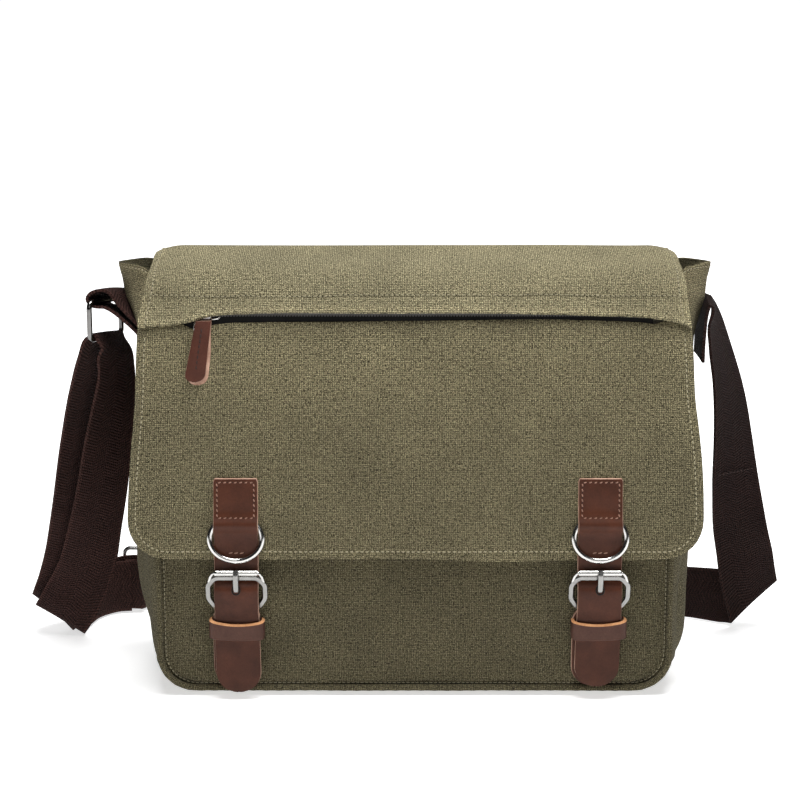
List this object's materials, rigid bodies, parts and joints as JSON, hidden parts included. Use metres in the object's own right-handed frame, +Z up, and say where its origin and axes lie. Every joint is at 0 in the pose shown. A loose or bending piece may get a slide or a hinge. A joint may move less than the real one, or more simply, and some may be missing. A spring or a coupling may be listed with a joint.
{
  "type": "messenger bag",
  "caption": "Soft canvas messenger bag with a fold-over flap, zip pocket in the flap, buckled leather closures and a webbing shoulder strap.",
  "frame": {"origin": "centre of the flat base, on the surface the bag stands on", "axes": "+X to the right seen from the front, +Y to the back, +Z up"},
  "size_m": [0.5574, 0.2054, 0.3003],
  "materials": {
    "canvas": "washed olive canvas, plain weave",
    "lining_cloth": "thin dark olive lining cloth",
    "padding": "quilted padding under lining cloth",
    "webbing": "dark brown twill webbing",
    "leather_brown": "smooth dark red-brown leather with pale raw edges",
    "metal_dark": "polished dark nickel plating",
    "zip_metal": "dark nickel zip parts",
    "zip_tape": "black zip tape"
  },
  "bodies": {
    "bag": {"front_panel": "canvas", "back_panel": "canvas", "gusset_right": "canvas", "gusset_left": "canvas", "base_panel": "canvas", "front_piping": "canvas", "back_piping": "canvas", "lining": "lining_cloth", "laptop_divider": "padding", "slip_pocket": "lining_cloth", "mouth_binding": "canvas", "snap_socket_left": "metal_dark", "snap_socket_right": "metal_dark", "socket_washers": "metal_dark", "ring_tab": "webbing", "strap_front_strand": "webbing", "strap_back_strand": "webbing", "strap_main_run": "webbing", "strap_second_run": "webbing", "strap_right_fall": "webbing"},
    "flap_top": {"flap_band_top": "canvas", "flap_lining_top": "lining_cloth"},
    "flap_front": {"flap_band_front": "canvas", "flap_panel": "canvas", "flap_lining_front": "lining_cloth", "zip_tapes": "zip_tape", "zip_teeth": "zip_metal", "zip_stops": "zip_metal", "closure_tab_left": "leather_brown", "closure_tab_right": "leather_brown"},
    "zip_slider": {"zip_slider": "zip_metal"},
    "zip_pull": {"zip_pull_link": "zip_metal", "pull_leather_back": "leather_brown", "pull_leather_front": "leather_brown"},
    "strap_ring": {"strap_ring": "metal_dark", "strap_ring_loop": "webbing"},
    "strap_adjuster": {"strap_adjuster": "metal_dark", "strap_end_loop": "webbing"},
    "closure_left": {"closure_strap_left": "leather_brown", "chape_left": "leather_brown", "buckle_frame_left": "metal_dark", "snap_stud_left": "metal_dark"},
    "d_ring_left": {"d_ring_left": "metal_dark"},
    "roller_left": {"buckle_roller_left": "metal_dark"},
    "prong_left": {"buckle_prong_left": "metal_dark"},
    "keeper_left": {"keeper_left": "leather_brown"},
    "closure_right": {"closure_strap_right": "leather_brown", "chape_right": "leather_brown", "buckle_frame_right": "metal_dark", "snap_stud_right": "metal_dark"},
    "d_ring_right": {"d_ring_right": "metal_dark"},
    "roller_right": {"buckle_roller_right": "metal_dark"},
    "prong_right": {"buckle_prong_right": "metal_dark"},
    "keeper_right": {"keeper_right": "leather_brown"}
  },
  "joints": [
    {"name": "flap_lift", "type": "hinge", "parent": "bag", "child": "flap_top", "pos_m": [0, 0.035, 0.2995], "axis": [-1, 0, 0], "range_deg": [0, 150]},
    {"name": "flap_fold", "type": "hinge", "parent": "flap_top", "child": "flap_front", "pos_m": [0, -0.025, 0.2905], "axis": [-1, 0, 0], "range_deg": [0, 150]},
    {"name": "zip_run", "type": "slide", "parent": "flap_front", "child": "zip_slider", "axis": [1, 0, 0], "range_m": [0, 0.295]},
    {"name": "zip_pull_swing", "type": "hinge", "parent": "zip_slider", "child": "zip_pull", "pos_m": [-0.146, -0.03966, 0.2596], "axis": [-1, 0, 0], "range_deg": [0, 60]},
    {"name": "strap_ring_swing", "type": "hinge", "parent": "bag", "child": "strap_ring", "pos_m": [-0.216, 0, 0.2685], "axis": [0.342, 0.9397, 0], "range_deg": [0, 45]},
    {"name": "strap_adjust", "type": "slide", "parent": "bag", "child": "strap_adjuster", "axis": [1, 0, 0], "range_m": [0, 0.15]},
    {"name": "closure_swing_left", "type": "hinge", "parent": "flap_front", "child": "closure_left", "pos_m": [-0.1225, -0.0667, 0.096], "axis": [-1, 0, 0], "range_deg": [0, 40]},
    {"name": "d_ring_swing_left", "type": "hinge", "parent": "flap_front", "child": "d_ring_left", "pos_m": [-0.1225, -0.06388, 0.125], "axis": [-1, 0, 0], "range_deg": [0, 150]},
    {"name": "roller_spin_left", "type": "hinge", "parent": "closure_left", "child": "roller_left", "pos_m": [-0.1225, -0.0709, 0.092], "axis": [1, 0, 0], "continuous": true},
    {"name": "prong_swing_left", "type": "hinge", "parent": "closure_left", "child": "prong_left", "pos_m": [-0.1225, -0.0642, 0.066], "axis": [1, 0, 0], "range_deg": [0, 30]},
    {"name": "keeper_slide_left", "type": "slide", "parent": "closure_left", "child": "keeper_left", "axis": [0, 0, 1], "range_m": [-0.004, 0.003]},
    {"name": "closure_swing_right", "type": "hinge", "parent": "flap_front", "child": "closure_right", "pos_m": [0.1225, -0.0667, 0.096], "axis": [-1, 0, 0], "range_deg": [0, 40]},
    {"name": "d_ring_swing_right", "type": "hinge", "parent": "flap_front", "child": "d_ring_right", "pos_m": [0.1225, -0.06388, 0.125], "axis": [-1, 0, 0], "range_deg": [0, 150]},
    {"name": "roller_spin_right", "type": "hinge", "parent": "closure_right", "child": "roller_right", "pos_m": [0.1225, -0.0709, 0.092], "axis": [1, 0, 0], "continuous": true},
    {"name": "prong_swing_right", "type": "hinge", "parent": "closure_right", "child": "prong_right", "pos_m": [0.1225, -0.0642, 0.066], "axis": [1, 0, 0], "range_deg": [0, 30]},
    {"name": "keeper_slide_right", "type": "slide", "parent": "closure_right", "child": "keeper_right", "axis": [0, 0, 1], "range_m": [-0.004, 0.003]}
  ]
}
